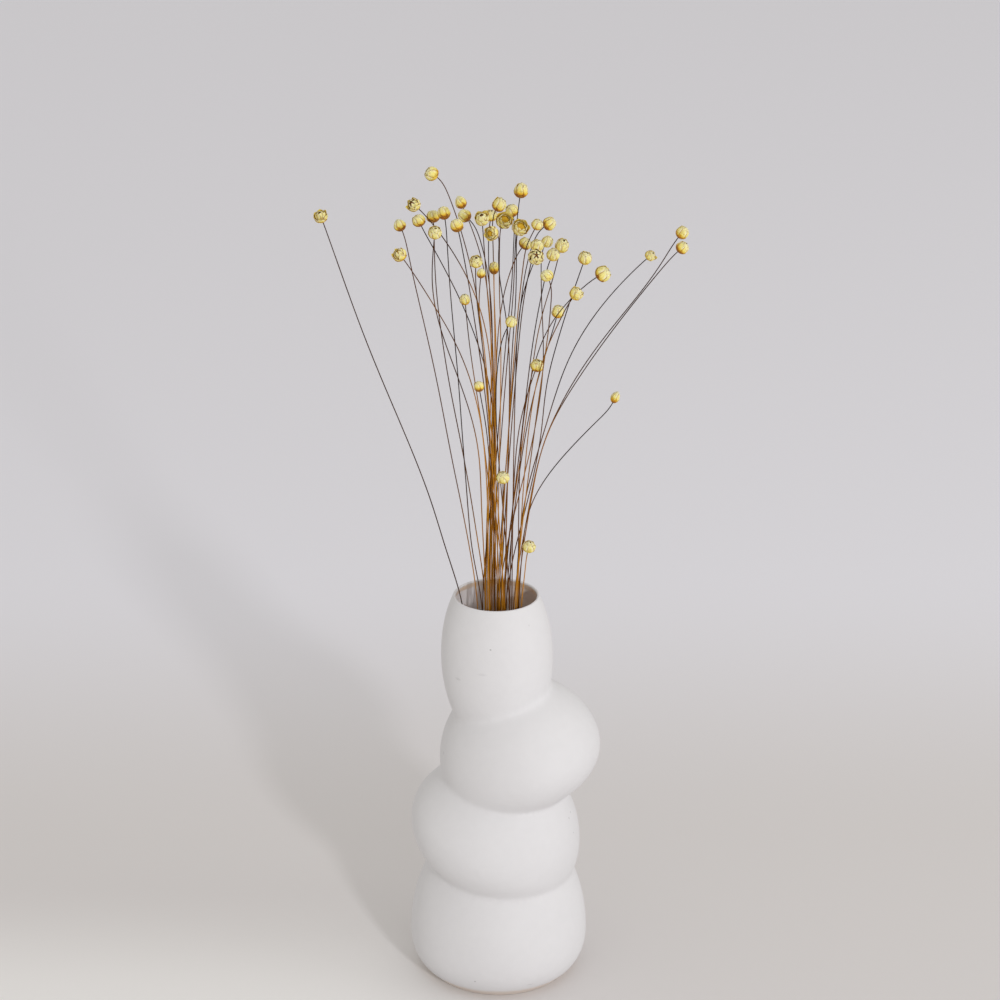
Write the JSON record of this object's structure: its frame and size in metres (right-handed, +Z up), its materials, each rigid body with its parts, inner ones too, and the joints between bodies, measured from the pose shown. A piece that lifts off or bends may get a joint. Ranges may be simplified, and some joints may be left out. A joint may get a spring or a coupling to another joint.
{
  "type": "vase of dried glixia",
  "caption": "Matt ceramic vase of stacked off-centre bubbles holding a loose fan of dried glixia: thin wiry stems, each tipped with one small papery globe.",
  "frame": {"origin": "centre of the vase's foot, on the surface that the vase stands on", "axes": "+Z up the vase and the stems, -Y the front of the arrangement, +X its right as seen from the front"},
  "size_m": [0.1697, 0.0956, 0.4013],
  "materials": {
    "ceramic": "matt, unglazed",
    "bracts": "dry and papery, with a faint sheen",
    "stems": "dry, wiry"
  },
  "bodies": {
    "root": {"vase": "ceramic", "stems_01": "stems", "stems_02": "stems", "stems_03": "stems", "stems_04": "stems", "stems_05": "stems", "stems_06": "stems", "stems_07": "stems", "stems_08": "stems", "stems_09": "stems", "stems_10": "stems", "stems_11": "stems", "stems_12": "stems", "flower_head_01": "bracts", "flower_head_02": "bracts", "flower_head_03": "bracts", "flower_head_04": "bracts", "flower_head_05": "bracts", "flower_head_06": "bracts", "flower_head_07": "bracts", "flower_head_08": "bracts", "flower_head_09": "bracts", "flower_head_10": "bracts", "flower_head_11": "bracts", "flower_head_12": "bracts", "flower_head_13": "bracts", "flower_head_14": "bracts", "flower_head_15": "bracts", "flower_head_16": "bracts", "flower_head_17": "bracts", "flower_head_18": "bracts", "flower_head_19": "bracts", "flower_head_20": "bracts", "flower_head_21": "bracts", "flower_head_22": "bracts", "flower_head_23": "bracts", "flower_head_24": "bracts", "flower_head_25": "bracts", "flower_head_26": "bracts", "flower_head_27": "bracts", "flower_head_28": "bracts", "flower_head_29": "bracts", "flower_head_30": "bracts", "flower_head_31": "bracts", "flower_head_32": "bracts", "flower_head_33": "bracts", "flower_head_34": "bracts", "flower_head_35": "bracts", "flower_head_36": "bracts", "flower_head_37": "bracts", "flower_head_38": "bracts", "flower_head_39": "bracts", "flower_head_40": "bracts", "flower_head_41": "bracts", "flower_head_42": "bracts", "flower_head_43": "bracts", "flower_head_44": "bracts", "flower_head_45": "bracts", "flower_head_46": "bracts"}
  },
  "joints": []
}
